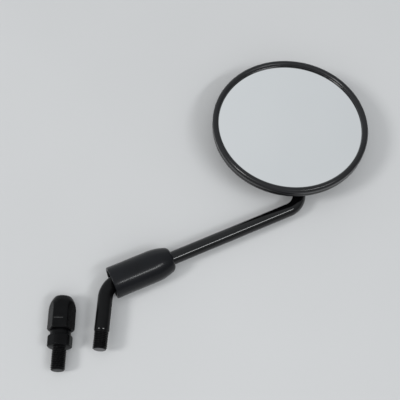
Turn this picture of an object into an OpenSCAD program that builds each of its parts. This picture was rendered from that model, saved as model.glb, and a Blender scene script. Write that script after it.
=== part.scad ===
// Round motorcycle mirror with its mounting adapter, lying on a level surface.
// The mirror face looks up. The flat back of the head, the rubber boot and a flat
// of the adapter's lock nut rest on the plane z = 0. The origin is on that plane,
// under the middle of the whole layout. The lower leg of the stem runs along Y.

/* [Mirror head] */
// Outer diameter of the bezel
head_d = 121; // [100:1:150]
// Diameter of the mirror face inside the bezel
face_d = 111.5; // [90:0.5:140]
// Height of the mirror's edge above the back of the shell
edge_z = 27; // [26:0.5:32]
// Thickness of the mirror glass
glass_t = 2.2; // [1.8:0.1:3]
// Radius of curvature of the convex glass
glass_curve = 1200; // [800:50:1600]
// How far the glass reaches under the bezel
glass_lap = 1.4; // [1:0.1:1.8]
// Thickness of the rubber gasket round the edge of the glass
gasket_t = 0.8; // [0.6:0.1:1]
// Height from the mirror's edge to the underside of the bezel's lip
lip_gap = 0.45; // [0.3:0.05:0.6]
// How far the bezel reaches below the mirror's edge
skirt_h = 6; // [5.6:0.1:7]
// Thickness of the lowest fold of the bezel
fold_t = 1.9; // [1.4:0.1:2]
// Sheet thickness of the back shell
shell_t = 1; // [0.8:0.1:1.2]
// Radius at which the sloping wall of the shell would meet its flat back
back_r = 43.5; // [42:0.5:46]
// Fillet between the back and the wall, outside
back_fillet = 4; // [3:0.5:6]
// Radius of the foam pad behind the glass
pad_r = 50; // [40:1:52]
// Thickness of the foam pad at its edge
pad_t = 1.5; // [1:0.1:1.8]

/* [Ball joint] */
// Diameter of the ball on the end of the stem
ball_d = 13.5; // [12.5:0.1:14]
// Height of the ball's centre above the back of the shell
ball_h = 10.2; // [9.8:0.1:11]
// Distance of the ball from the middle of the head
ball_reach = 36; // [34:0.5:37]
// Diameter of the neck behind the ball
neck_d = 8; // [7:0.1:9]
// Length of the neck from the ball's centre
neck_l = 11.2; // [10.5:0.1:12]
// Wall of the plastic seats round the ball
seat_t = 1.4; // [1.2:0.1:1.6]
// Running clearance of the ball in its seats, and of the seats in their socket
ball_play = 0.05; // [0.03:0.01:0.1]
// Gap between the two seats
seat_split = 0.6; // [0.4:0.1:1]
// Gap between the two halves of the socket
socket_split = 1; // [0.8:0.1:1.4]
// Length of the socket across the stem
socket_w = 37; // [35:0.5:40]
// Depth of the socket along the stem
socket_d = 19; // [18.5:0.1:20]
// Half height of the slot that lets the neck swing
swing_slot = 6.2; // [6:0.1:6.6]
// Side clearance of the neck in that slot
slot_play = 0.6; // [0.4:0.1:1]
// Height of the socket cap's ears above the ball's centre
ear_h = 6.4; // [5.5:0.1:6.8]
// Distance of each clamp screw from the ball's centre
screw_x = 14.3; // [14:0.1:15]
// Diameter of the clamp screws
screw_d = 4; // [3:0.5:4]
// Diameter of the screws' heads
screw_head_d = 8; // [7:0.1:8]
// Height of the screws' heads
screw_head_h = 2.6; // [2:0.1:2.8]
// Thickness of the spring washers' sheet
spring_t = 0.5; // [0.4:0.1:0.6]
// Height of the cone of the spring washers
spring_rise = 0.7; // [0.5:0.1:0.8]
// Height of the middle of the stem's entry hole above the back
entry_z = 11; // [10.8:0.1:11.2]
// Radius of the opening in the entry grommet
entry_r = 8; // [7.9:0.1:8.2]
// Thickness of the grommet's lining and flanges
grommet_t = 0.7; // [0.6:0.1:0.8]

/* [Stem] */
// Diameter of the stem
rod_d = 10; // [9:0.1:10.4]
// Diameter of the lower leg of the stem
leg_d = 10.5; // [10.5:0.1:12]
// Radius of the bends at the middle of the rod
bend_r = 15; // [13:0.5:17]
// Length from the lower bend's corner to the threaded end
leg_l = 46.7; // [40:0.1:60]
// Length from the lower bend's corner to the upper bend's corner
span_l = 158.6; // [130:0.1:190]
// Length from the upper bend's corner to the ball
inlet_l = 25.8; // [24:0.1:28]
// Turn of the lower bend in degrees
lower_turn = 61.9; // [50:0.1:70]
// Turn of the upper bend in degrees
upper_turn = 71.5; // [60:0.5:75]
// Length from the lower bend's corner to the start of the swaged taper
swage_at = 14; // [12:0.5:16]
// Length of the swaged taper between the two diameters
swage_l = 6; // [4:0.5:8]
// Outer diameter of the threaded end
thread_d = 9.9; // [9.8:0.05:9.95]
// Length of the threaded end
thread_l = 13; // [11:0.5:20]
// Length of the chamfers on threaded ends
thread_chamfer = 0.8; // [0.5:0.1:1.2]

/* [Boot] */
// Outer diameter of the rubber boot
boot_d = 23.5; // [23:0.1:26]
// Wall of the rubber boot
boot_wall = 1.8; // [1.5:0.1:2.2]
// Length of the rubber boot
boot_l = 48; // [44:0.5:56]
// Length of the boot's straight part from its mouth
boot_straight = 31; // [26:0.5:36]
// Radius of the long curve towards the boot's shoulder
boot_curve = 38; // [30:1:60]
// Radius of the rounding at the boot's shoulder
boot_tip = 3.6; // [2.5:0.1:4]
// Length of the collar that grips the stem
collar_l = 10.5; // [8:0.5:12]
// Length of the funnel between the boot's hollow and its collar
funnel_l = 3.5; // [2:0.5:5]
// Clearance of the collar round the stem
collar_play = 0.05; // [0.03:0.01:0.1]
// Distance of the boot's mouth from the lower bend's corner
boot_gap = 4; // [1:0.5:6]

/* [Adapter] */
// Width across flats of the lock nut
nut_af = 17; // [16:0.5:19]
// Diameter across the nut's rounded corners
nut_corner_d = 19.4; // [18.6:0.1:21.9]
// Length of the lock nut
nut_l = 24; // [20:0.5:28]
// Diameter of the flat at the nut's domed end
nut_top_d = 11.8; // [11:0.1:13]
// Length of the nut's domed part
nut_dome = 11; // [8:0.5:14]
// Bore through the nut's domed end
nut_bore_d = 10.4; // [10.2:0.1:10.8]
// Diameter of the adapter's spigot inside the nut
spigot_d = 14; // [13.5:0.1:14.5]
// Length of the spigot inside the nut
spigot_l = 12; // [10:0.5:14]
// Length of the spigot that shows between nut and hexagon
spigot_show = 4; // [2:0.5:6]
// Diameter of the spigot where it shows
collar_d = 14.5; // [14:0.1:15]
// Width across flats of the adapter's hexagon
hex_af = 16; // [14:0.5:17]
// Diameter across that hexagon's rounded corners
hex_corner_d = 17.3; // [16.5:0.1:19]
// Length of the adapter's hexagon
hex_l = 8; // [6:0.5:10]
// Turn of the hexagon against the nut in degrees
hex_turn = 18; // [0:1:30]
// Outer diameter of the adapter's stud
stud_d = 9.9; // [9.8:0.05:9.95]
// Length of the adapter's stud
stud_l = 16; // [12:0.5:20]
// Threaded hole in the adapter for the stem's end
socket_bore_d = 10; // [10:0.05:10.1]
// Depth of that hole
socket_bore_l = 14; // [13:0.5:15]
// How far the adapter's stud lies to the left of the stem's end
adapter_dx = 27.1; // [24:0.1:40]
// How far the adapter's stud lies below the stem's end
adapter_dy = 15; // [0:0.1:30]
// Angle between the adapter and the stem's leg in degrees
adapter_turn = 3; // [0:0.1:10]

/* [Hidden] */
$fn = 96;

// Directions in degrees from +X, seen from above
span_dir = 90 - lower_turn;
inlet_dir = span_dir + upper_turn;

// The ball from the stem's threaded end, and the head's middle from there
ball_dx = span_l * cos(span_dir) + inlet_l * cos(inlet_dir);
ball_dy = leg_l + span_l * sin(span_dir) + inlet_l * sin(inlet_dir);
head_dx = ball_dx + ball_reach * cos(inlet_dir);
head_dy = ball_dy + ball_reach * sin(inlet_dir);

// Adapter sizes along its axis, from the end of its stud
nut_corner_r = nut_corner_d / 2;
nut_at = stud_l + hex_l + spigot_show;
adapter_l = nut_at + nut_l;

// Middle of the whole layout, seen from the stem's threaded end
low_x = -adapter_dx - (adapter_l - nut_dome) * sin(adapter_turn) - nut_corner_r * cos(adapter_turn);
low_y = -adapter_dy - stud_d / 2 * sin(adapter_turn);
mid_x = (low_x + head_dx + head_d / 2) / 2;
mid_y = (low_y + head_dy + head_d / 2) / 2;

// The stem leans so that the boot's straight part just touches the surface
belly_dx = (boot_gap + boot_straight) * cos(span_dir);
lean = asin((boot_d / 2 - ball_h) / (ball_dx - belly_dx));

// Heights and radii inside the head
glass_play = 0.05;
bezel_play = 0.05;
face_r = face_d / 2;
glass_r = face_r + glass_lap;
gasket_r = glass_r + gasket_t;
rim_r = gasket_r + shell_t;
lip_z = edge_z + lip_gap;
bead_r = (head_d - face_d) / 4;
bead_at = face_r + bead_r;
ledge_z = edge_z - glass_t - gasket_t - 0.1;
ledge_low = ledge_z - shell_t;
rim_top = lip_z - gasket_t;
bezel_low = edge_z - skirt_h;
wall_top_r = glass_r - 1.05;
wall_slope = atan2(ledge_low, wall_top_r - back_r);
wall_across = shell_t / sin(wall_slope);
pad_z = edge_z - glass_t + crown(pad_r) - glass_play - pad_t;

// Ball joint
ball_r = ball_d / 2;
seat_in = ball_r + ball_play;
seat_out = seat_in + seat_t;
socket_r = seat_out + ball_play;
base_top = ball_h - socket_split / 2;
cap_low = ball_h + socket_split / 2;
ear_top = ball_h + ear_h;
dome_r = socket_r + 1.55;
dome_top = ball_h + socket_r + 1.3;
spring_in = screw_d / 2 + 0.15;
head_low = ear_top + spring_t + spring_rise;
screw_tip = shell_t + 2;

// The cone from the neck to the full stem, and how the bends sit just inside the straight lengths
neck_taper = 1.2;
bend_lap = 0.3;
bend_step = 0.04;

// Length of each bend's tangent
lower_tan = bend_r * tan(lower_turn / 2);
upper_tan = bend_r * tan(upper_turn / 2);

// Height of the domed glass above its visible edge at radius r
function crown(r) = (face_r * face_r - r * r) / (2 * glass_curve);

// Points on a circle of radius r round c, from angle a to angle b in n steps
function arc(c, r, a, b, n) = [for (i = [0:n]) c + r * [cos(a + (b - a) * i / n), sin(a + (b - a) * i / n)]];

// Points on the glass's upper or under side from radius a to radius b, lowered by t
function glass_line(a, b, t, n) = [
    for (i = [0:n]) let (r = a + (b - a) * i / n) [r, edge_z + crown(r) - t]
];

// Radius of the shell's outer wall at height z
function wall_r(z) = back_r + z / tan(wall_slope);

// Radius of the boot at length x from its mouth, on its long curve
function boot_r(x) = boot_d / 2 - boot_curve + sqrt(boot_curve * boot_curve - pow(x - boot_straight, 2));

// Puts its children in the head's frame: middle at the origin, the ball towards -Y
module at_head() {
    translate([head_dx - mid_x, head_dy - mid_y, 0])
        rotate([0, 0, inlet_dir - 90])
            children();
}

// Puts its children in the head's frame with the ball's centre at the origin
module at_ball() {
    at_head()
        translate([0, -ball_reach, ball_h])
            children();
}

// Puts its children in the stem's leaning plane with the ball's centre at the origin
module at_stem() {
    translate([ball_dx - mid_x, ball_dy - mid_y, ball_h])
        rotate([0, lean, 0])
            children();
}

// Puts its children on the adapter's axis: +Z runs from the stud to the nut
module at_adapter() {
    translate([-adapter_dx - mid_x, -adapter_dy - mid_y, nut_af / 2])
        rotate([0, 0, adapter_turn])
            rotate([-90, 0, 0])
                children();
}

module mirror_glass() {
    color("silver")
        at_head()
            rotate_extrude()
                polygon(concat(
                    glass_line(0, glass_r, glass_t, 14),
                    glass_line(glass_r, 0, 0, 14)
                ));
}

// A channel of rubber round the edge of the glass
module glass_gasket() {
    color("dimgray")
        at_head()
            rotate_extrude()
                polygon(concat(
                    [[gasket_r, ledge_z], [gasket_r, lip_z], [face_r + 0.4, lip_z]],
                    glass_line(face_r + 0.4, glass_r + glass_play, -glass_play, 1),
                    glass_line(glass_r + glass_play, wall_top_r - 0.35, glass_t + glass_play, 1),
                    [[wall_top_r - 0.35, ledge_z]]
                ));
}

module foam_pad() {
    color("darkslategray")
        at_head()
            rotate_extrude()
                polygon(concat(
                    [[0, pad_z], [pad_r, pad_z]],
                    glass_line(pad_r, 0, glass_t + glass_play, 14)
                ));
}

// The ring that shows round the glass: a round bead, a short wall and a fold under the shell's ledge
module bezel() {
    fold_r = fold_t - 0.1;
    color("black")
        at_head()
            rotate_extrude()
                polygon(concat(
                    arc([bead_at, lip_z], bead_r, 180, 0, 20),
                    arc([head_d / 2 - fold_r, bezel_low + fold_r], fold_r, 0, -90, 8),
                    [[wall_top_r + 1.2, bezel_low], [wall_top_r + 1.2, ledge_low]],
                    [[rim_r + bezel_play, ledge_low], [rim_r + bezel_play, rim_top]],
                    [[gasket_r, rim_top], [gasket_r, lip_z]]
                ));
}

// The section of the back shell, without the entry hole
module shell_section() {
    in_fillet = back_fillet - shell_t;
    in_corner = wall_r(shell_t) - wall_across;
    out_centre = [back_r - back_fillet * tan(wall_slope / 2), back_fillet];
    in_centre = [in_corner - in_fillet * tan(wall_slope / 2), shell_t + in_fillet];
    polygon(concat(
        [[0, 0]],
        arc(out_centre, back_fillet, -90, wall_slope - 90, 8),
        [[wall_top_r, ledge_low], [rim_r, ledge_low], [rim_r, rim_top]],
        [[gasket_r, rim_top], [gasket_r, ledge_z], [wall_r(ledge_z) - wall_across, ledge_z]],
        arc(in_centre, in_fillet, wall_slope - 90, -90, 8),
        [[0, shell_t]]
    ));
}

// A round bar along the stem's way in, used for the entry hole and its grommet
module entry_bar(r) {
    translate([0, -ball_reach, entry_z])
        rotate([90, 0, 0])
            cylinder(r = r, h = head_d);
}

module back_shell() {
    color("black")
        at_head()
            difference() {
                rotate_extrude()
                    shell_section();
                entry_bar(entry_r + grommet_t);
            }
}

// A rubber ring that lines the entry hole and grips the sheet on both sides
module entry_grommet() {
    color("dimgray")
        at_head()
            difference() {
                intersection() {
                    difference() {
                        entry_bar(entry_r + 2 * grommet_t);
                        entry_bar(entry_r);
                    }
                    rotate_extrude()
                        polygon([
                            [wall_r(shell_t + 0.3) - wall_across - grommet_t, shell_t + 0.3],
                            [wall_r(shell_t + 0.3) + grommet_t, shell_t + 0.3],
                            [wall_r(bezel_low - 0.1) + grommet_t, bezel_low - 0.1],
                            [wall_r(bezel_low - 0.1) - wall_across - grommet_t, bezel_low - 0.1]
                        ]);
                }
                difference() {
                    rotate_extrude()
                        shell_section();
                    entry_bar(entry_r + grommet_t);
                }
            }
}

// The space inside the shell that the socket has to stay within
module socket_room() {
    room = wall_across + 1.1;
    knee_z = shell_t + back_fillet;
    rotate_extrude()
        polygon([
            [0, 0], [wall_r(shell_t) - room - back_fillet * tan(wall_slope / 2), 0],
            [wall_r(shell_t) - room - back_fillet * tan(wall_slope / 2), shell_t],
            [wall_r(knee_z) - room, knee_z],
            [wall_r(ledge_z) - room, ledge_z], [0, ledge_z]
        ]);
}

// The slot in the socket that the neck swings in
module swing_cut() {
    slot_w = neck_d + 2 * slot_play;
    translate([-slot_w / 2, -socket_d, -swing_slot])
        cube([slot_w, socket_d, 2 * swing_slot]);
}

// The lower half of the socket, fixed to the inside of the shell
module socket_base() {
    color("gray")
        at_head()
            difference() {
                intersection() {
                    translate([-socket_w / 2, -ball_reach - socket_d / 2, shell_t])
                        cube([socket_w, socket_d, base_top - shell_t]);
                    socket_room();
                }
                translate([0, -ball_reach, ball_h]) {
                    sphere(r = socket_r);
                    swing_cut();
                    for (side = [-1, 1])
                        translate([side * screw_x, 0, screw_tip - ball_h])
                            cylinder(d = screw_d, h = ball_h);
                }
            }
}

// The upper half of the socket, pulled down by the sprung screws
module socket_cap() {
    color("gray")
        at_head()
            difference() {
                intersection() {
                    translate([0, -ball_reach, 0]) {
                        translate([-socket_w / 2, -socket_d / 2, cap_low])
                            cube([socket_w, socket_d, ear_top - cap_low]);
                        translate([0, 0, cap_low])
                            cylinder(r = dome_r, h = dome_top - cap_low);
                    }
                    socket_room();
                }
                translate([0, -ball_reach, ball_h]) {
                    sphere(r = socket_r);
                    swing_cut();
                    for (side = [-1, 1])
                        translate([side * screw_x, 0, 0])
                            cylinder(d = screw_d + 0.4, h = dome_r);
                }
            }
}

// One seat: half of a hollow ball with an opening for the neck. up is 1 or -1
module ball_seat(up) {
    color("ivory")
        at_ball()
            difference() {
                sphere(r = seat_out);
                sphere(r = seat_in);
                translate([-seat_out, -seat_out, up > 0 ? seat_split / 2 - 2 * seat_out : -seat_split / 2])
                    cube(2 * seat_out);
                rotate([90, 0, 0])
                    cylinder(d = neck_d + 2 * slot_play, h = 2 * seat_out);
            }
}

// One of the two clamp screws, at side -1 or 1 of the ball
module clamp_screw(side) {
    color("silver")
        at_head()
            translate([side * screw_x, -ball_reach, 0])
                difference() {
                    union() {
                        translate([0, 0, screw_tip + 0.5])
                            cylinder(d = screw_d, h = head_low - screw_tip - 0.4);
                        translate([0, 0, head_low])
                            cylinder(d = screw_head_d, h = screw_head_h);
                    }
                    translate([0, 0, head_low + 1])
                        cylinder(d = 3, h = screw_head_h, $fn = 6);
                }
}

// A conical spring washer under the head of each clamp screw
module clamp_spring(side) {
    color("gainsboro")
        at_head()
            translate([side * screw_x, -ball_reach, ear_top])
                rotate_extrude()
                    polygon([
                        [spring_in, spring_rise],
                        [screw_head_d / 2, 0],
                        [screw_head_d / 2, spring_t],
                        [spring_in, spring_rise + spring_t]
                    ]);
}

// A bend that starts at the origin towards -Y; side is 1 for a turn to -X and -1 for a turn to +X
module bend(d, turn, side) {
    translate([-side * bend_r, 0, 0])
        rotate([0, 0, side > 0 ? -turn : 180])
            rotate_extrude(angle = turn)
                translate([bend_r, 0])
                    circle(d = d - bend_step);
}

// Puts its children at the far end of such a bend, again towards -Y
module after_bend(turn, side) {
    translate([-side * bend_r, 0, 0])
        rotate([0, 0, -side * turn])
            translate([side * bend_r, 0, 0])
                children();
}

// A turned length of the stem from the origin along -Y; points are [radius, distance]
module turned(points) {
    rotate([90, 0, 0])
        rotate_extrude()
            polygon(concat([[0, points[0][1]]], points, [[0, points[len(points) - 1][1]]]));
}

// The ball at the origin with its neck and the first straight length l of the stem along -Y
module ball_end(l) {
    rotate([90, 0, 0])
        rotate_extrude() {
            intersection() {
                circle(r = ball_r);
                translate([0, -ball_r])
                    square([ball_r, 2 * ball_r]);
            }
            polygon([
                [0, 0], [neck_d / 2, 0], [neck_d / 2, neck_l],
                [rod_d / 2, neck_l + neck_taper], [rod_d / 2, l], [0, l]
            ]);
        }
}

module stem() {
    inlet_straight = inlet_l - upper_tan;
    span_straight = span_l - upper_tan - lower_tan;
    swage_end = span_straight + lower_tan - swage_at;
    leg_straight = leg_l - lower_tan - thread_l;
    leg_end = leg_straight + thread_l;
    step_l = (leg_d - thread_d) / 2;
    color("black")
        at_stem()
            rotate([0, 0, inlet_dir - 90]) {
                ball_end(inlet_straight + bend_lap);
                translate([0, -inlet_straight, 0]) {
                    bend(rod_d, upper_turn, 1);
                    after_bend(upper_turn, 1) {
                        turned([
                            [rod_d / 2, -bend_lap], [rod_d / 2, swage_end - swage_l],
                            [leg_d / 2, swage_end], [leg_d / 2, span_straight + bend_lap]
                        ]);
                        translate([0, -span_straight, 0]) {
                            bend(leg_d, lower_turn, -1);
                            after_bend(lower_turn, -1)
                                turned([
                                    [leg_d / 2, -bend_lap], [leg_d / 2, leg_straight - step_l],
                                    [thread_d / 2, leg_straight], [thread_d / 2, leg_end - thread_chamfer],
                                    [thread_d / 2 - thread_chamfer, leg_end]
                                ]);
                        }
                    }
                }
            }
}

// The sleeve that slides down over the lock nut, drawn with its mouth at the origin and its shoulder up +Z
module boot_body() {
    hollow_r = boot_d / 2 - boot_wall;
    bore_r = rod_d / 2 + collar_play;
    bore_at = boot_l - collar_l;
    tip_at = boot_l - boot_tip;
    tip_slope = asin((tip_at - boot_straight) / boot_curve);
    rotate_extrude()
        polygon(concat(
            [[hollow_r + 0.4, 0], [boot_d / 2 - 0.4, 0], [boot_d / 2, 0.5]],
            [for (i = [0:12]) let (x = boot_straight + (tip_at - boot_straight) * i / 12) [boot_r(x), x]],
            arc([boot_r(tip_at) - boot_tip * cos(tip_slope), tip_at - boot_tip * sin(tip_slope)],
                boot_tip, tip_slope + 6, 90, 8),
            [[bore_r, tip_at + boot_tip * (1 - sin(tip_slope))]],
            [[bore_r, bore_at], [hollow_r, bore_at - funnel_l], [hollow_r, 0.5]]
        ));
}

module rubber_boot() {
    corner = -inlet_l * [cos(inlet_dir), sin(inlet_dir)] - span_l * [cos(span_dir), sin(span_dir)];
    mouth = corner + boot_gap * [cos(span_dir), sin(span_dir)];
    color("darkslategray")
        at_stem()
            translate([mouth[0], mouth[1], 0])
                rotate([0, 0, span_dir])
                    rotate([0, 90, 0])
                        boot_body();
}

// A hexagonal bar of width af across flats with rounded corners and both ends chamfered
module hex_bar(af, corner_r, l) {
    chamfer = 0.7;
    intersection() {
        cylinder(r = af / 2 / cos(30), h = l, $fn = 6);
        rotate_extrude()
            polygon([
                [0, 0], [corner_r - chamfer, 0], [corner_r, chamfer],
                [corner_r, l - chamfer], [corner_r - chamfer, l], [0, l]
            ]);
    }
}

module mount_adapter() {
    color("black")
        at_adapter()
            difference() {
                union() {
                    translate([0, 0, thread_chamfer])
                        cylinder(d = stud_d, h = stud_l - thread_chamfer);
                    cylinder(d1 = stud_d - 2 * thread_chamfer, d2 = stud_d, h = thread_chamfer);
                    translate([0, 0, stud_l])
                        rotate([0, 0, hex_turn])
                            hex_bar(hex_af, hex_corner_d / 2, hex_l);
                    translate([0, 0, stud_l + hex_l])
                        cylinder(d = collar_d, h = spigot_show);
                    translate([0, 0, nut_at])
                        cylinder(d = spigot_d, h = spigot_l);
                }
                translate([0, 0, nut_at + spigot_l - socket_bore_l])
                    cylinder(d = socket_bore_d, h = socket_bore_l + 1);
            }
}

// The lock nut: a hexagon whose upper part is turned to a dome, drawn from its lower end
module lock_nut() {
    dome_at = nut_l - nut_dome;
    rise = nut_corner_r - nut_top_d / 2;
    dome_curve = (nut_dome * nut_dome + rise * rise) / (2 * rise);
    dome_end = asin(nut_dome / dome_curve);
    chamfer = 1;
    color("black")
        at_adapter()
            translate([0, 0, nut_at])
                difference() {
                    intersection() {
                        cylinder(r = nut_af / 2 / cos(30), h = nut_l, $fn = 6);
                        rotate_extrude()
                            polygon(concat(
                                [[0, 0], [nut_corner_r - chamfer, 0], [nut_corner_r, chamfer]],
                                arc([nut_corner_r - dome_curve, dome_at], dome_curve, 0, dome_end, 10),
                                [[0, nut_l]]
                            ));
                    }
                    translate([0, 0, -1])
                        cylinder(d = spigot_d, h = spigot_l + 1);
                    cylinder(d = nut_bore_d, h = nut_l + 1);
                }
}

mirror_glass();
glass_gasket();
foam_pad();
bezel();
back_shell();
entry_grommet();
socket_base();
socket_cap();
ball_seat(-1);  // ball_seat_lower
ball_seat(1);  // ball_seat_upper
for (i = [1:2]) clamp_screw(2 * i - 3);
for (i = [1:2]) clamp_spring(2 * i - 3);
stem();
rubber_boot();
mount_adapter();
lock_nut();
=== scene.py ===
import math

import bpy
from mathutils import Matrix, Vector


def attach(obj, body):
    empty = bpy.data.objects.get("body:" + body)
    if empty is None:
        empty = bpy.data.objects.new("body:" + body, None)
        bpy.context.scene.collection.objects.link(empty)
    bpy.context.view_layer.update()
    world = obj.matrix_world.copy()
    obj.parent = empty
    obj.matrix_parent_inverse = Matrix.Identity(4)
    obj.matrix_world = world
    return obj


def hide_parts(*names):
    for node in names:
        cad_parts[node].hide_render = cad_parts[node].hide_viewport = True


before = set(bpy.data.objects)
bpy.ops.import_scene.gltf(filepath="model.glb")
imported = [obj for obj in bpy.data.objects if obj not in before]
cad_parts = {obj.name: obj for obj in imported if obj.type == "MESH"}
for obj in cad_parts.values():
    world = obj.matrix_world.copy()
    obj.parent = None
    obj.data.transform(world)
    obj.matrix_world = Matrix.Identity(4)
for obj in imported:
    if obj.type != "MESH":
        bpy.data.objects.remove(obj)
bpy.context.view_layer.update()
MM = 0.001

# Sizes of the object, as in the CAD model, in millimetres and degrees
HEAD_D, FACE_D, EDGE_Z = 121.0, 111.5, 27.0
GLASS_T, GLASS_CURVE, GLASS_LAP = 2.2, 1200.0, 1.4
GASKET_T, LIP_GAP, SKIRT_H, FOLD_T, SHELL_T = 0.8, 0.45, 6.0, 1.9, 1.0
BALL_D, BALL_H, BALL_REACH, NECK_D, NECK_L = 13.5, 10.2, 36.0, 8.0, 11.2
ROD_D, LEG_D, BEND_R = 10.0, 10.5, 15.0
LEG_L, SPAN_L, INLET_L = 46.7, 158.6, 25.8
LOWER_TURN, UPPER_TURN = 61.9, 71.5
SWAGE_AT, SWAGE_L = 14.0, 6.0
THREAD_D, THREAD_L, CHAMFER = 9.9, 13.0, 0.8
BOOT_D, BOOT_WALL, BOOT_L = 23.5, 1.8, 48.0
BOOT_STRAIGHT, BOOT_CURVE, BOOT_TIP = 31.0, 38.0, 3.6
COLLAR_L, FUNNEL_L, BOOT_GAP = 10.5, 3.5, 4.0
NUT_AF, NUT_CORNER_D, NUT_L, NUT_TOP_D, NUT_DOME, NUT_BORE = 17.0, 19.4, 24.0, 11.8, 11.0, 10.4
SPIGOT_D, SPIGOT_L, SPIGOT_SHOW, COLLAR_D = 14.0, 12.0, 4.0, 14.5
HEX_AF, HEX_CORNER_D, HEX_L, HEX_TURN = 16.0, 17.3, 8.0, 18.0
STUD_D, STUD_L, BORE_D, BORE_L = 9.9, 16.0, 10.0, 14.0
ADAPTER_DX, ADAPTER_DY, ADAPTER_TURN = 27.1, 15.0, 3.0
PITCH, THREAD_DEPTH, THREAD_CREST, THREAD_FLANK = 1.25, 0.68, 0.86, 0.74

# Faces round each turned shape
STEM_SIDES, BOOT_SIDES, GLASS_SIDES, BEZEL_SIDES, ADAPTER_SIDES = 64, 160, 160, 200, 240


def cos_d(angle):
    return math.cos(math.radians(angle))


def sin_d(angle):
    return math.sin(math.radians(angle))


def turn(angle, axis):
    return Matrix.Rotation(math.radians(angle), 4, axis)


def shift(x, y, z):
    return Matrix.Translation((x, y, z))


# Places of the sub-parts: the whole object is centred on the origin
SPAN_DIR = 90 - LOWER_TURN
INLET_DIR = SPAN_DIR + UPPER_TURN
BALL_DX = SPAN_L * cos_d(SPAN_DIR) + INLET_L * cos_d(INLET_DIR)
BALL_DY = LEG_L + SPAN_L * sin_d(SPAN_DIR) + INLET_L * sin_d(INLET_DIR)
HEAD_DX = BALL_DX + BALL_REACH * cos_d(INLET_DIR)
HEAD_DY = BALL_DY + BALL_REACH * sin_d(INLET_DIR)
NUT_AT = STUD_L + HEX_L + SPIGOT_SHOW
ADAPTER_L = NUT_AT + NUT_L
LOW_X = -ADAPTER_DX - (ADAPTER_L - NUT_DOME) * sin_d(ADAPTER_TURN) - NUT_CORNER_D / 2 * cos_d(ADAPTER_TURN)
LOW_Y = -ADAPTER_DY - STUD_D / 2 * sin_d(ADAPTER_TURN)
MID_X = (LOW_X + HEAD_DX + HEAD_D / 2) / 2
MID_Y = (LOW_Y + HEAD_DY + HEAD_D / 2) / 2
LEAN = math.asin((BOOT_D / 2 - BALL_H) / (BALL_DX - (BOOT_GAP + BOOT_STRAIGHT) * cos_d(SPAN_DIR)))
CORNER_X = -INLET_L * cos_d(INLET_DIR) - SPAN_L * cos_d(SPAN_DIR)
CORNER_Y = -INLET_L * sin_d(INLET_DIR) - SPAN_L * sin_d(SPAN_DIR)

AT_HEAD = shift(HEAD_DX - MID_X, HEAD_DY - MID_Y, 0) @ turn(INLET_DIR - 90, "Z")
AT_STEM = shift(BALL_DX - MID_X, BALL_DY - MID_Y, BALL_H) @ Matrix.Rotation(LEAN, 4, "Y")
AT_ADAPTER = (
    shift(-ADAPTER_DX - MID_X, -ADAPTER_DY - MID_Y, NUT_AF / 2) @ turn(ADAPTER_TURN, "Z") @ turn(-90, "X")
)
AT_NUT = AT_ADAPTER @ shift(0, 0, NUT_AT)
AT_CORNER = AT_STEM @ shift(CORNER_X, CORNER_Y, 0) @ turn(SPAN_DIR, "Z") @ turn(90, "Y")
AT_BOOT = AT_CORNER @ shift(0, 0, BOOT_GAP)

# The camera looks down from about half a metre, tilted from the vertical
CAM_YAW, CAM_TILT, CAM_ROLL = -1.505, 27.35, -4.80
CAM_X, CAM_Y, CAM_Z = -19.58, -257.95, 521.9
CAM_LENS, CAM_SENSOR = 68.4, 36
CAM_NEAR, CAM_FAR = 0.02, 50


def link(ob):
    bpy.context.scene.collection.objects.link(ob)


def make_camera():
    ahead = Vector((0, sin_d(CAM_TILT), -cos_d(CAM_TILT)))
    level_right = Vector((1, 0, 0))
    level_down = Vector((0, -cos_d(CAM_TILT), -sin_d(CAM_TILT)))
    right = cos_d(CAM_ROLL) * level_right + sin_d(CAM_ROLL) * level_down
    down = -sin_d(CAM_ROLL) * level_right + cos_d(CAM_ROLL) * level_down
    facing = Matrix((right, -down, -ahead)).transposed().to_4x4()
    cam = bpy.data.cameras.new("camera")
    cam.lens, cam.sensor_width = CAM_LENS, CAM_SENSOR
    cam.clip_start, cam.clip_end = CAM_NEAR, CAM_FAR
    ob = bpy.data.objects.new("camera", cam)
    link(ob)
    ob.matrix_world = shift(CAM_X * MM, CAM_Y * MM, CAM_Z * MM) @ turn(CAM_YAW, "Z") @ facing
    bpy.context.scene.camera = ob


# Shader building
def new_mat(name):
    mat = bpy.data.materials.new(name)
    mat.use_nodes = True
    nt = mat.node_tree
    return mat, nt, nt.nodes["Principled BSDF"]


def node(nt, kind, **values):
    """Adds a node; each value goes to the input of that name, or else to the node's own setting."""
    made = nt.nodes.new(kind)
    for name, value in values.items():
        if name in made.inputs:
            made.inputs[name].default_value = value
        else:
            setattr(made, name, value)
    return made


def noise(nt, scale, detail=3.0, rough=0.55):
    coord = node(nt, "ShaderNodeTexCoord")
    made = node(nt, "ShaderNodeTexNoise", Scale=scale, Detail=detail, Roughness=rough)
    nt.links.new(coord.outputs["Object"], made.inputs["Vector"])
    return made.outputs["Fac"]


def tones(nt, fac, dark, light, start=0.3, end=0.7):
    """Maps fac from start..end to the colours dark..light."""
    made = node(nt, "ShaderNodeValToRGB")
    low, high = made.color_ramp.elements
    low.position, high.position = start, end
    low.color, high.color = (*dark, 1), (*light, 1)
    nt.links.new(fac, made.inputs["Fac"])
    return made.outputs["Color"]


def ramp(nt, fac, low, high, start=0.3, end=0.7):
    """Maps fac from start..end to the numbers low..high."""
    made = node(nt, "ShaderNodeMapRange")
    for name, value in (("From Min", start), ("From Max", end), ("To Min", low), ("To Max", high)):
        made.inputs[name].default_value = value
    nt.links.new(fac, made.inputs["Value"])
    return made.outputs["Result"]


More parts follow.
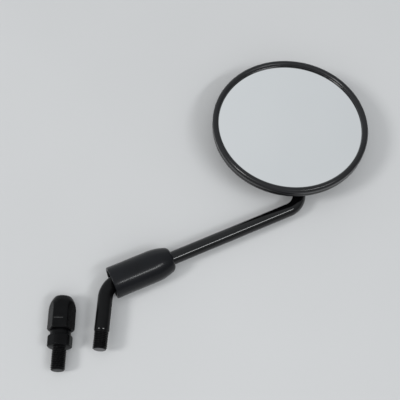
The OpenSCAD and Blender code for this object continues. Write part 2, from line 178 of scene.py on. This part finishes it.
def combine(nt, operation, a, b):
    made = node(nt, "ShaderNodeMath", operation=operation)
    nt.links.new(a, made.inputs[0])
    nt.links.new(b, made.inputs[1])
    return made.outputs[0]


def bump(nt, fac, distance, strength=1.0):
    made = node(nt, "ShaderNodeBump", Strength=strength, Distance=distance)
    nt.links.new(fac, made.inputs["Height"])
    return made.outputs["Normal"]


def surface(name, dark, light, rough, metallic=0.0, fine=900.0, coarse=60.0, depth=0.00002, **sockets):
    """A varied procedural surface: two tones, changing roughness and a fine bump."""
    mat, nt, shader = new_mat(name)
    shader.inputs["Metallic"].default_value = metallic
    for socket, value in sockets.items():
        shader.inputs[socket.replace("_", " ")].default_value = value
    big = noise(nt, coarse, 4.0)
    small = noise(nt, fine, 3.0)
    nt.links.new(tones(nt, big, dark, light), shader.inputs["Base Color"])
    nt.links.new(ramp(nt, big, *rough), shader.inputs["Roughness"])
    nt.links.new(bump(nt, small, depth), shader.inputs["Normal"])
    return mat


def mirror_silver():
    mat, nt, shader = new_mat("mirror_silver")
    shader.inputs["Metallic"].default_value = 1.0
    silver = tones(nt, noise(nt, 14.0, 2.0), (0.885, 0.885, 0.888), (0.905, 0.903, 0.903))
    nt.links.new(silver, shader.inputs["Base Color"])
    nt.links.new(ramp(nt, noise(nt, 40.0, 3.0), 0.015, 0.03), shader.inputs["Roughness"])
    return mat


def outer_materials():
    """The paint, black metal, rubber and silver that show."""
    return {
        "stem": surface(
            "stem_gloss_paint", (0.0008, 0.0008, 0.001), (0.002, 0.002, 0.0024), (0.22, 0.30),
            fine=420.0, coarse=90.0, depth=0.000002,
            Specular_IOR_Level=0.02, Coat_Weight=0.8, Coat_Roughness=0.05),
        "leg": surface(
            "leg_satin_paint", (0.002, 0.002, 0.0023), (0.0038, 0.0038, 0.0042), (0.30, 0.42),
            fine=700.0, coarse=120.0, depth=0.000005,
            Specular_IOR_Level=0.1, Coat_Weight=0.12, Coat_Roughness=0.08),
        "thread": surface(
            "thread_black_oxide", (0.0022, 0.0022, 0.0025), (0.005, 0.005, 0.0055), (0.30, 0.42),
            fine=900.0, coarse=400.0, depth=0.00001, Specular_IOR_Level=0.12),
        "end": surface(
            "thread_end_worn", (0.06, 0.06, 0.065), (0.14, 0.135, 0.14), (0.35, 0.5), 0.6,
            fine=1500.0, coarse=500.0),
        "adapter": surface(
            "adapter_black_zinc", (0.0018, 0.0018, 0.0021), (0.0035, 0.0035, 0.004), (0.24, 0.36),
            fine=600.0, coarse=150.0, depth=0.00001, Specular_IOR_Level=0.11),
        # A painted highlight: a light line coloured across the nut's upper flat
        "mark": surface(
            "painted_highlight_line", (0.06, 0.06, 0.06), (0.10, 0.10, 0.10), (0.4, 0.55),
            fine=1500.0, coarse=900.0),
        # A painted highlight: bright metal colour for small spots on the thread's shoulder
        "glint": surface(
            "painted_glint", (0.40, 0.40, 0.40), (0.60, 0.60, 0.59), (0.35, 0.5), 0.4,
            fine=1500.0, coarse=900.0),
        "bezel": surface(
            "bezel_satin_paint", (0.004, 0.004, 0.0048), (0.0075, 0.0075, 0.009), (0.26, 0.36),
            fine=500.0, coarse=80.0, depth=0.000004,
            Specular_IOR_Level=0.28, Coat_Weight=0.25, Coat_Roughness=0.08),
        "boot": surface(
            "boot_rubber", (0.0020, 0.0022, 0.0034), (0.0036, 0.0040, 0.0058), (0.30, 0.38),
            fine=1400.0, coarse=70.0, depth=0.000005,
            Specular_IOR_Level=0.10, Coat_Weight=0.34, Coat_Roughness=0.18),
        "mirror": mirror_silver(),
        "glass_edge": surface(
            "glass_edge", (0.10, 0.16, 0.14), (0.16, 0.22, 0.20), (0.12, 0.2), coarse=300.0),
    }


def inner_materials():
    """The pan, and what is inside the head."""
    return {
        "shell": surface(
            "shell_satin_paint", (0.008, 0.008, 0.009), (0.013, 0.013, 0.014), (0.34, 0.46),
            fine=500.0, coarse=50.0, depth=0.00001, Specular_IOR_Level=0.3),
        "rubber": surface(
            "gasket_rubber", (0.008, 0.008, 0.008), (0.015, 0.015, 0.015), (0.6, 0.75),
            fine=1500.0, coarse=200.0, Specular_IOR_Level=0.3),
        "foam": surface(
            "foam_tape", (0.05, 0.05, 0.05), (0.10, 0.10, 0.10), (0.85, 0.95),
            fine=2500.0, coarse=300.0, depth=0.0001),
        "cast": surface(
            "die_cast", (0.33, 0.33, 0.34), (0.45, 0.45, 0.46), (0.35, 0.5), 1.0,
            fine=1800.0, coarse=200.0, depth=0.00003),
        "nylon": surface(
            "natural_nylon", (0.66, 0.64, 0.56), (0.78, 0.76, 0.68), (0.4, 0.5),
            fine=1200.0, coarse=150.0, depth=0.00001),
        "zinc": surface(
            "zinc_plating", (0.5, 0.5, 0.5), (0.65, 0.65, 0.64), (0.25, 0.4), 1.0,
            fine=1500.0, coarse=300.0, depth=0.00001),
    }


# Mesh building
def add_mesh(name, verts, faces, at, looks, body, face_looks=None, sharp=34.0):
    """Links a mesh given in millimetres at a place, and gives it the body that carries it."""
    mesh = bpy.data.meshes.new(name)
    mesh.from_pydata([tuple(at @ Vector(v) * MM) for v in verts], [], faces)
    mesh.validate()
    for mat in looks:
        mesh.materials.append(mat)
    if face_looks:
        mesh.polygons.foreach_set("material_index", face_looks)
    mesh.shade_smooth()
    mesh.set_sharp_from_angle(angle=math.radians(sharp))
    mesh.update()
    ob = bpy.data.objects.new(name, mesh)
    link(ob)
    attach(ob, body)
    return ob


def grid(rings, closed=False):
    """Points of rings of equal length, and the faces between them, back to the first ring if closed."""
    n = len(rings[0])
    verts = [v for row in rings for v in row]
    faces = []
    for i in range(len(rings) if closed else len(rings) - 1):
        a, b = i * n, ((i + 1) % len(rings)) * n
        for j in range(n):
            k = (j + 1) % n
            faces.append((a + j, a + k, b + k, b + j))
    return verts, faces


def capped_grid(rings):
    """A grid whose first and last ring are each closed by one face, at the end of the list."""
    n = len(rings[0])
    verts, faces = grid(rings)
    faces.append(tuple(reversed(range(n))))
    faces.append(tuple(range(len(verts) - n, len(verts))))
    return verts, faces


def band_looks(kinds, n):
    """The look of each face of a capped grid: a band of faces has the look of the ring at its far side."""
    looks = [kind for kind in kinds[1:] for _ in range(n)]
    return looks + [kinds[0], kinds[-1]]


def arc(cx, cy, r, start, end, steps):
    spread = [start + (end - start) * i / steps for i in range(steps + 1)]
    return [(cx + r * cos_d(a), cy + r * sin_d(a)) for a in spread]


def full_circle(n):
    return [2 * math.pi * j / n for j in range(n)]


def ring(r, z, n):
    return [(r * math.cos(a), r * math.sin(a), z) for a in full_circle(n)]


def shaped_ring(radius, z, n):
    """A ring whose radius is a function of the angle."""
    return [(radius(a) * math.cos(a), radius(a) * math.sin(a), z) for a in full_circle(n)]


def lathe(name, profile, at, mat, body, n):
    """Turns a closed profile of (radius, height) round Z. It runs anticlockwise."""
    verts, faces = grid([ring(r, z, n) for r, z in profile], closed=True)
    return add_mesh(name, verts, faces, at, [mat], body)


def blend(a, b, k):
    """The smaller of two radii, rounded over the width k where they meet."""
    h = max(k - abs(a - b), 0.0) / k
    return min(a, b) - h * h * k / 4


# Sides of a hexagon that face further away than this cosine don't bound it
TURNED_AWAY = 0.3


def hexagon_r(angle, across, soft):
    """Distance from the axis to a hexagon's side, with softened corners."""
    found = None
    for i in range(6):
        facing = math.cos(angle - math.radians(60 * i + 30))
        if facing > TURNED_AWAY:
            r = across / 2 / facing
            found = r if found is None else blend(found, r, soft)
    return found


def rounding(r, inward):
    """How far a rounded edge of radius r draws back at a distance inward from the end face."""
    return r - math.sqrt(max(r * r - (r - inward) ** 2, 0)) if inward < r else 0.0


def thread_r(outer, s, angle, depth=THREAD_DEPTH):
    """Radius of a thread with flat crests and rounded roots at length s and angle."""
    phase = (s / PITCH + angle / (2 * math.pi)) % 1.0
    return outer - depth * min(max((THREAD_CREST - abs(2 * phase - 1)) / THREAD_FLANK, 0.0), 1.0)


# The stem: looks by number, and rings along each stretch or along one turn of the thread
PAINT, LEG, THREAD, END, GLINT = range(5)
BALL_STEPS, BEND_STEPS, SPAN_STEPS, LEG_STEPS, TURN_STEPS = 28, 26, 12, 6, 14
# The cone from the neck to the rod, and how its corners are eased
NECK_CONE, NECK_EASE, NECK_EASE_R = 1.5, 0.4, 0.05
# The thread's shoulder, with the band where a highlight is painted and the faces round it that carry it
GLINT_FROM, GLINT_TO, SHOULDER_CUT = 0.45, 0.08, 0.12
GLINT_FACES = (12, 13, 18, 19)
# The undercut behind the thread, where the thread starts and fades in, and its end
UNDERCUT, UNDERCUT_L, UNDERCUT_SLOPE = 0.35, 0.5, 0.1
THREAD_GAP, THREAD_START, THREAD_FADE, END_CUT, END_EDGE = 0.02, 0.9, 0.8, 0.9, 0.15


def bend_tangent(angle):
    """Distance from a bend's corner to where it starts."""
    return BEND_R * math.tan(math.radians(angle) / 2)


def stem_runs():
    """Straight runs and bends from the ball on, each as start, length, turning side, point and heading."""
    upper, lower = bend_tangent(UPPER_TURN), bend_tangent(LOWER_TURN)
    plan = (
        (INLET_L - upper, 0),
        (math.radians(UPPER_TURN) * BEND_R, -1),
        (SPAN_L - upper - lower, 0),
        (math.radians(LOWER_TURN) * BEND_R, 1),
        (LEG_L - lower, 0),
    )
    runs, start = [], 0.0
    point, heading = Vector((0, 0, 0)), math.radians(INLET_DIR + 180)
    for length, side in plan:
        runs.append((start, length, side, point, heading))
        point, heading = follow(runs[-1], length)
        start += length
    return runs, start


def follow(run, distance):
    """Point and heading on the centreline at a distance along one run."""
    _, _, side, point, heading = run
    if not side:
        return point + Vector((math.cos(heading), math.sin(heading), 0)) * distance, heading
    centre = point + Vector((-math.sin(heading), math.cos(heading), 0)) * side * BEND_R
    swept = side * distance / BEND_R
    return centre + Matrix.Rotation(swept, 3, "Z") @ (point - centre), heading + swept


def stem_sections(runs, total):
    """Every ring of the stem from the ball on: distance, radius, look and how much of the thread it has."""
    rod, leg = ROD_D / 2, LEG_D / 2
    ball_r = BALL_D / 2
    meet = math.degrees(math.asin(NECK_D / 2 / ball_r))
    for i in range(1, BALL_STEPS + 1):
        w = (180 - meet) * i / BALL_STEPS
        yield -ball_r * cos_d(w), ball_r * sin_d(w), PAINT, 0
    yield NECK_L - NECK_EASE, NECK_D / 2, PAINT, 0
    yield NECK_L, NECK_D / 2 + NECK_EASE_R, PAINT, 0
    yield NECK_L + NECK_CONE - NECK_EASE, rod - NECK_EASE_R, PAINT, 0
    yield NECK_L + NECK_CONE, rod, PAINT, 0

    upper_bend, span, lower_bend, leg_run = runs[1:]
    for i in range(BEND_STEPS + 1):
        yield upper_bend[0] + upper_bend[1] * i / BEND_STEPS, rod, PAINT, 0
    swage_end = lower_bend[0] + bend_tangent(LOWER_TURN) - SWAGE_AT
    swage_start = swage_end - SWAGE_L
    for i in range(1, SPAN_STEPS + 1):
        yield span[0] + (swage_start - span[0]) * i / SPAN_STEPS, rod, PAINT, 0
    yield swage_end, leg, LEG, 0
    for i in range(BEND_STEPS + 1):
        yield lower_bend[0] + lower_bend[1] * i / BEND_STEPS, leg, LEG, 0

    thread_at, crest = total - THREAD_L, THREAD_D / 2
    shoulder = thread_at - (leg - crest)
    for i in range(1, LEG_STEPS):
        yield leg_run[0] + (shoulder - leg_run[0]) * i / LEG_STEPS, leg, LEG, 0
    yield shoulder - GLINT_FROM, leg, LEG, 0
    yield shoulder - GLINT_TO, leg, GLINT, 0
    yield shoulder, leg - SHOULDER_CUT, LEG, 0
    yield thread_at - THREAD_GAP, crest - UNDERCUT + UNDERCUT_SLOPE, THREAD, 0
    yield thread_at + UNDERCUT_L, crest - UNDERCUT, THREAD, 0
    rows = int(THREAD_L / PITCH * TURN_STEPS)
    first = thread_at + THREAD_START
    for i in range(rows + 1):
        s = first + (total - first) * i / rows
        cut = min((s - first) / THREAD_FADE, 1.0) if s < total - CHAMFER else (total - s) / CHAMFER * END_CUT
        yield s, min(crest, crest - (s - (total - CHAMFER))), THREAD, cut
    yield total, crest - CHAMFER - END_EDGE, END, 0


def make_stem(mats):
    runs, total = stem_runs()
    up = Vector((0, 0, 1))
    rings, kinds = [], []
    for s, r, kind, cut in stem_sections(runs, total):
        run = [found for found in runs if found[0] <= s or found is runs[0]][-1]
        point, heading = follow(run, s - run[0])
        side = Vector((-math.sin(heading), math.cos(heading), 0))
        row = []
        for w in full_circle(STEM_SIDES):
            radius = r + (thread_r(r, s, w) - r) * cut
            row.append(tuple(point + (side * math.cos(w) + up * math.sin(w)) * radius))
        rings.append(row)
        kinds.append(kind)
    verts, faces = capped_grid(rings)
    # A painted highlight: two small bright spots coloured onto the thread's shoulder
    looks = [
        LEG if kind == GLINT and i % STEM_SIDES not in GLINT_FACES else kind
        for i, kind in enumerate(band_looks(kinds, STEM_SIDES))
    ]
    used = [mats[look] for look in ("stem", "leg", "thread", "end", "glint")]
    ob = add_mesh("stem_rod", verts, faces, AT_STEM, used, "stem", looks, 40.0)
    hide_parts("stem")


# The boot: the rounded edge of its mouth, and the small edge round the rod at its tip
MOUTH_R, MOUTH_EDGE, TIP_BEVEL, TIP_OVERLAP, BOOT_FIT = 0.6, 0.1, 0.35, 3, 0.05
BOOT_LOWER_STEPS, BOOT_CURVE_STEPS, BOOT_TIP_STEPS = 6, 20, 12


def make_boot(mats):
    r, hollow, bore = BOOT_D / 2, BOOT_D / 2 - BOOT_WALL, ROD_D / 2 + BOOT_FIT
    tip_at, bore_at = BOOT_L - BOOT_TIP, BOOT_L - COLLAR_L
    curved = tip_at - BOOT_STRAIGHT
    slope = math.degrees(math.asin(curved / BOOT_CURVE))

    def outer(x):
        return r - BOOT_CURVE + math.sqrt(BOOT_CURVE ** 2 - (x - BOOT_STRAIGHT) ** 2)

    tip_r = outer(tip_at) - BOOT_TIP * cos_d(slope)
    tip_z = tip_at - BOOT_TIP * sin_d(slope)
    on_curve = [BOOT_STRAIGHT + curved * i / BOOT_CURVE_STEPS for i in range(BOOT_CURVE_STEPS + 1)]
    profile = [(hollow, MOUTH_R + MOUTH_EDGE)]
    profile += arc(hollow + MOUTH_R, MOUTH_R, MOUTH_R, 180, 270, 5)[1:]
    profile += arc(r - MOUTH_R, MOUTH_R, MOUTH_R, 270, 360, 5)
    profile += [(r, BOOT_STRAIGHT * i / BOOT_LOWER_STEPS) for i in range(1, BOOT_LOWER_STEPS)]
    profile += [(outer(x), x) for x in on_curve]
    profile += arc(tip_r, tip_z, BOOT_TIP, slope + TIP_OVERLAP, 90, BOOT_TIP_STEPS)
    profile += [(bore + TIP_BEVEL, tip_z + BOOT_TIP), (bore, tip_z + BOOT_TIP - TIP_BEVEL)]
    profile += [(bore, bore_at), (hollow, bore_at - FUNNEL_L)]
    ob = lathe("boot_sleeve", profile, AT_BOOT, mats["boot"], "boot", BOOT_SIDES)
    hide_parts("rubber_boot")


# The lock nut: its bevelled foot, sides and dome, and how softly the flats meet them
NUT_BEVEL, NUT_BEVEL_STEPS, NUT_BEVEL_RISE, NUT_SIDE_STEPS, NUT_DOME_STEPS = 1.0, 19, 0.08, 10, 64
NUT_SOFT, NUT_TOP_ROUND, NUT_FOOT_ROUND = 0.35, 0.5, 0.25
# Heights and faces of the painted highlight line
MARK_FROM, MARK_TO, MARK_FIRST, MARK_LAST = 6.7, 7.0, 162, 188
# The nut's inside
NUT_FIT, NUT_FOOT, NUT_MOUTH, NUT_BACK, NUT_FLARE = 0.01, 0.4, 0.5, 0.02, 0.3


def make_nut(mats):
    corner_r, dome_at = NUT_CORNER_D / 2, NUT_L - NUT_DOME
    rise = corner_r - NUT_TOP_D / 2
    curve = (NUT_DOME ** 2 + rise ** 2) / (2 * rise)
    side_from = NUT_BEVEL_RISE * (NUT_BEVEL_STEPS + 1)

    def turned(z):
        if z < NUT_BEVEL:
            return corner_r - NUT_BEVEL + z
        if z < dome_at:
            return corner_r
        return corner_r - curve + math.sqrt(max(curve ** 2 - (z - dome_at) ** 2, 0))

    def radius(z, angle):
        r = blend(turned(z), hexagon_r(angle, NUT_AF, NUT_SOFT), NUT_SOFT)
        return r - rounding(NUT_TOP_ROUND, NUT_L - z) - rounding(NUT_FOOT_ROUND, z)

    heights = [NUT_BEVEL_RISE * i for i in range(NUT_BEVEL_STEPS + 1)]
    heights += [side_from + (dome_at - side_from) * i / NUT_SIDE_STEPS for i in range(1, NUT_SIDE_STEPS + 1)]
    heights += [dome_at + NUT_DOME * i / NUT_DOME_STEPS for i in range(1, NUT_DOME_STEPS + 1)]
    heights = sorted(heights + [MARK_FROM, MARK_TO])
    rings = [shaped_ring(lambda a, z=z: radius(z, a), z, ADAPTER_SIDES) for z in heights]
    bore, spigot = NUT_BORE / 2, SPIGOT_D / 2 + NUT_FIT
    inside = (
        (bore + NUT_MOUTH, NUT_L), (bore, NUT_L - NUT_MOUTH), (bore, SPIGOT_L + NUT_BACK),
        (spigot, SPIGOT_L + NUT_BACK), (spigot, NUT_FOOT), (SPIGOT_D / 2 + NUT_FLARE, 0.0),
    )
    rings += [ring(r, z, ADAPTER_SIDES) for r, z in inside]
    verts, faces = grid(rings, closed=True)
    # A short painted highlight line across the upper flat
    row = heights.index(MARK_FROM)
    looks = [
        int(i // ADAPTER_SIDES == row and MARK_FIRST <= i % ADAPTER_SIDES <= MARK_LAST)
        for i in range(len(faces))
    ]
    ob = add_mesh("adapter_nut", verts, faces, AT_NUT, [mats["adapter"], mats["mark"]], "stem", looks, 40.0)
    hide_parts("lock_nut")


# The adapter: its looks by number, rings, and the small edges of the stud, hexagon, collar and hole
ZINC, CUT = range(2)
STUD_TURN_STEPS, BORE_TURN_STEPS, HEX_STEPS = 12, 10, 40
STUD_END_EDGE, STUD_GAP, RELIEF_L, RELIEF_IN, RELIEF_BEVEL = 0.1, 0.02, 1.6, 0.4, 0.3
HEX_BEVEL, HEX_SOFT, HEX_ROUND = 0.7, 0.3, 0.25
COLLAR_BEVEL, COLLAR_EDGE, SPIGOT_STEP, SPIGOT_FIT, SPIGOT_BEVEL = 0.25, 0.3, 0.01, 0.02, 0.5
BORE_THREAD_DEPTH, BORE_MOUTH, BORE_RUNOUT = 0.5, 0.3, 1


def stud_sections():
    """Rings of the threaded stud, as height, radius and look."""
    r0 = STUD_D / 2
    yield 0.0, r0 - CHAMFER - STUD_END_EDGE, CUT
    rows = int(STUD_L / PITCH * STUD_TURN_STEPS)
    for i in range(rows + 1):
        z = (STUD_L - RELIEF_L) * i / rows
        r = min(r0, r0 - CHAMFER + z)
        k = min(z / CHAMFER, 1.0)
        yield z + STUD_GAP, lambda a, r=r, z=z, k=k: r + (thread_r(r, z, a) - r) * k, CUT
    root = r0 - THREAD_DEPTH
    yield STUD_L - RELIEF_L + RELIEF_IN, root, CUT
    yield STUD_L - RELIEF_BEVEL, root, CUT
    yield STUD_L, root + RELIEF_BEVEL, CUT


def hexagon_sections():
    corner_r, turned = HEX_CORNER_D / 2, math.radians(HEX_TURN)
    for i in range(HEX_STEPS + 1):
        z = HEX_L * i / HEX_STEPS
        edge = min(z, HEX_L - z)
        cut = corner_r - max(HEX_BEVEL - edge, 0)
        back = rounding(HEX_ROUND, edge)
        yield STUD_L + z, lambda a, c=cut, b=back: (
            blend(c, hexagon_r(a - turned, HEX_AF, HEX_SOFT), HEX_SOFT) - b), ZINC


def spigot_sections():
    """The collar that shows above the hexagon, the spigot in the nut and the threaded hole in it."""
    collar, spigot, bore = COLLAR_D / 2, SPIGOT_D / 2 - SPIGOT_FIT, BORE_D / 2
    collar_at, top = STUD_L + HEX_L, NUT_AT + SPIGOT_L
    yield collar_at, collar + COLLAR_BEVEL, ZINC
    yield collar_at + COLLAR_BEVEL, collar, ZINC
    yield NUT_AT - COLLAR_EDGE, collar, ZINC
    yield NUT_AT, collar - COLLAR_BEVEL, ZINC
    yield NUT_AT + SPIGOT_STEP, spigot, ZINC
    yield top - SPIGOT_BEVEL, spigot, ZINC
    yield top, SPIGOT_D / 2 - SPIGOT_BEVEL, ZINC
    yield top, bore + BORE_MOUTH, CUT
    threaded = BORE_L - BORE_RUNOUT
    rows = int(threaded / PITCH * BORE_TURN_STEPS)
    for i in range(rows + 1):
        z = top - BORE_MOUTH - threaded * i / rows
        yield z, lambda a, z=z: thread_r(bore, z, a, BORE_THREAD_DEPTH), CUT
    yield top - BORE_L, bore - BORE_THREAD_DEPTH, CUT


def make_adapter(mats):
    rings, kinds = [], []
    for sections in (stud_sections(), hexagon_sections(), spigot_sections()):
        for z, radius, kind in sections:
            made = shaped_ring if callable(radius) else ring
            rings.append(made(radius, z, ADAPTER_SIDES))
            kinds.append(kind)
    verts, faces = capped_grid(rings)
    looks = band_looks(kinds, ADAPTER_SIDES)
    used = [mats["adapter"], mats["thread"]]
    ob = add_mesh("adapter_body", verts, faces, AT_ADAPTER, used, "stem", looks, 40.0)
    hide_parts("mount_adapter")


# The head: the glass, and the bezel with its groove, ledge and folded foot
GLASS_R = FACE_D / 2 + GLASS_LAP
GLASS_STEPS, GLASS_CENTRE = 40, 0.01
GROOVE_FROM, GROOVE_TO, GROOVE_SLOPE, GROOVE_DEPTH = 1.6, 2.5, 0.3, 0.12
LEDGE_LAP, LEDGE_GAP, FOLD_FLAT = 0.15, 0.1, 0.1
BEAD_STEPS, FOLD_STEPS = 40, 12


def crown(r):
    """Height of the convex glass over its edge at a distance from the centre."""
    return ((FACE_D / 2) ** 2 - r * r) / (2 * GLASS_CURVE)


def make_glass(mats):
    radii = [GLASS_R * i / GLASS_STEPS for i in range(GLASS_STEPS + 1)]
    top = [(r, EDGE_Z + crown(r)) for r in radii]
    under = [(r, z - GLASS_T) for r, z in top]
    rings = [ring(max(r, GLASS_CENTRE), z, GLASS_SIDES) for r, z in under + top[::-1]]
    verts, faces = capped_grid(rings)
    silver, edge = 0, 1
    looks = [edge if i // GLASS_SIDES == GLASS_STEPS else silver for i in range(len(faces))]
    ob = add_mesh(
        "mirror_face", verts, faces, AT_HEAD, [mats["mirror"], mats["glass_edge"]], "head", looks, 30.0)
    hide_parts("mirror_glass")


def make_bezel(mats):
    """A round bead over the glass and an outer wall with a fine groove, folded in at its foot."""
    wall_r = HEAD_D / 2
    gasket_r = GLASS_R + GASKET_T
    rim_r = gasket_r + SHELL_T
    lip_z = EDGE_Z + LIP_GAP
    bead_r = (HEAD_D - FACE_D) / 4
    ledge_z = EDGE_Z - GLASS_T - GASKET_T - LEDGE_GAP - SHELL_T
    foot_z = EDGE_Z - SKIRT_H
    fold_r = FOLD_T - FOLD_FLAT
    inner = GLASS_R + LEDGE_LAP
    groove_r = wall_r - GROOVE_DEPTH
    profile = arc(FACE_D / 2 + bead_r, lip_z, bead_r, 180, 0, BEAD_STEPS)
    profile += [
        (wall_r, lip_z - GROOVE_FROM), (groove_r, lip_z - GROOVE_FROM - GROOVE_SLOPE),
        (groove_r, lip_z - GROOVE_TO + GROOVE_SLOPE), (wall_r, lip_z - GROOVE_TO),
    ]
    profile += arc(wall_r - fold_r, foot_z + fold_r, fold_r, 0, -90, FOLD_STEPS)
    profile += [
        (inner, foot_z), (inner, ledge_z), (rim_r, ledge_z),
        (rim_r, lip_z - GASKET_T), (gasket_r, lip_z - GASKET_T), (gasket_r, lip_z),
    ]
    ob = lathe("bezel_ring", profile[::-1], AT_HEAD, mats["bezel"], "head", BEZEL_SIDES)
    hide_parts("bezel")


# The pieces that keep the CAD model's own mesh, and their looks
CAD_LOOKS = {
    "rubber": ("glass_gasket", "entry_grommet"),
    "foam": ("foam_pad",),
    "shell": ("back_shell",),
    "cast": ("socket_base", "socket_cap"),
    "nylon": ("ball_seat_lower", "ball_seat_upper"),
    "zinc": ("clamp_screw_1", "clamp_screw_2", "clamp_spring_1", "clamp_spring_2"),
}


def dress_cad(mats):
    for look, names in CAD_LOOKS.items():
        for name in names:
            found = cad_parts[name]
            for ob in found if isinstance(found, (list, tuple)) else [found]:
                if not ob.data.materials:
                    ob.data.materials.append(mats[look])
                for slot in ob.material_slots:
                    slot.material = mats[look]


# The floor, a pale sheet with a fine weave, just under the object
FLOOR_HALF, FLOOR_Z = 4.0, -0.0001


def make_floor():
    mat, nt, shader = new_mat("floor_pale")
    shader.inputs["Roughness"].default_value = 0.9
    shader.inputs["Specular IOR Level"].default_value = 0.1
    pale = tones(nt, noise(nt, 3.0, 3.0), (0.600, 0.612, 0.622), (0.630, 0.642, 0.652))
    nt.links.new(pale, shader.inputs["Base Color"])
    weave = noise(nt, 260.0, 4.0, 0.6)
    nt.links.new(bump(nt, weave, 0.00012, 0.5), shader.inputs["Normal"])
    mesh = bpy.data.meshes.new("floor")
    corners = [(x * FLOOR_HALF, y * FLOOR_HALF, 0) for x, y in ((-1, -1), (1, -1), (1, 1), (-1, 1))]
    mesh.from_pydata(corners, [], [(0, 1, 2, 3)])
    mesh.materials.append(mat)
    ob = bpy.data.objects.new("floor", mesh)
    ob.location = (0, 0, FLOOR_Z)
    link(ob)


# The lamps
LIGHT_DISTANCE = 3.0


def make_light(name, towards, size, power, colour):
    lamp = bpy.data.lights.new(name, "AREA")
    lamp.shape = "ELLIPSE"
    lamp.size, lamp.size_y = size
    lamp.energy = power
    lamp.color = colour
    ob = bpy.data.objects.new(name, lamp)
    away = Vector(towards).normalized()
    ob.location = away * LIGHT_DISTANCE
    ob.rotation_euler = (-away).to_track_quat("-Z", "Y").to_euler()
    link(ob)


# The world
SOFT_LIGHT = (0.985, 0.995, 1.0, 1)
GLOSS_LIGHT = (0.648, 0.682, 0.702, 1)
PLAIN_BACKGROUND = (0.600, 0.622, 0.636, 1)
SOFT_LIGHT_FROM = (0.0, -0.42, 0.908)
# How bright the room is in a gloss: axis, level at the start, level at the end, start, end
GLOSS_LEVELS = (
    ("X", 1.16, 0.84, -1.0, 1.0),
    ("Z", 0.80, 1.0, 0.0, 0.55),
    ("X", 1.0, 0.65, 0.30, 0.90),
    ("Y", 0.72, 1.0, -0.95, -0.40),
    ("Y", 1.0, 1.5, 0.84, 0.99),
)


def light_shader(nt, colour, strength=None):
    made = node(nt, "ShaderNodeBackground", Color=colour)
    if strength:
        nt.links.new(strength, made.inputs["Strength"])
    return made.outputs["Background"]


def choose(nt, fac, first, second):
    made = node(nt, "ShaderNodeMixShader")
    for socket, value in enumerate((fac, first, second)):
        nt.links.new(value, made.inputs[socket])
    return made.outputs["Shader"]


def make_world():
    """Soft light, mostly from above. Seen directly it is plain, in a gloss it is a pale, shaded room."""
    world = bpy.data.worlds.new("studio")
    bpy.context.scene.world = world
    world.use_nodes = True
    nt = world.node_tree
    nt.nodes.remove(nt.nodes["Background"])
    way = node(nt, "ShaderNodeTexCoord").outputs["Generated"]
    axes = node(nt, "ShaderNodeSeparateXYZ")
    nt.links.new(way, axes.inputs[0])
    above = node(nt, "ShaderNodeVectorMath", operation="DOT_PRODUCT")
    nt.links.new(way, above.inputs[0])
    above.inputs[1].default_value = SOFT_LIGHT_FROM
    soft = light_shader(nt, SOFT_LIGHT, ramp(nt, above.outputs["Value"], 0.22, 1.36, 0.6, 0.95))
    level = None
    for axis, *span in GLOSS_LEVELS:
        part = ramp(nt, axes.outputs[axis], *span)
        level = combine(nt, "MULTIPLY", level, part) if level else part
    gloss = light_shader(nt, GLOSS_LIGHT, level)
    plain = light_shader(nt, PLAIN_BACKGROUND)
    path = node(nt, "ShaderNodeLightPath").outputs
    direct = combine(nt, "MAXIMUM", path["Is Camera Ray"], path["Is Transmission Ray"])
    lit = choose(nt, path["Is Glossy Ray"], soft, gloss)
    nt.links.new(choose(nt, direct, lit, plain), nt.nodes["World Output"].inputs["Surface"])


make_camera()
make_floor()
make_world()
make_light("key", (-0.88, -0.45, 1.0), (0.75, 0.75), 27.0, (1.0, 0.99, 0.98))
make_light("fill", (0.62, -0.50, 1.0), (1.6, 0.30), 20.0, (0.98, 0.99, 1.0))

materials = {**outer_materials(), **inner_materials()}
make_stem(materials)
make_boot(materials)
make_nut(materials)
make_adapter(materials)
make_glass(materials)
make_bezel(materials)
dress_cad(materials)

bpy.context.scene.view_settings.view_transform = "Standard"
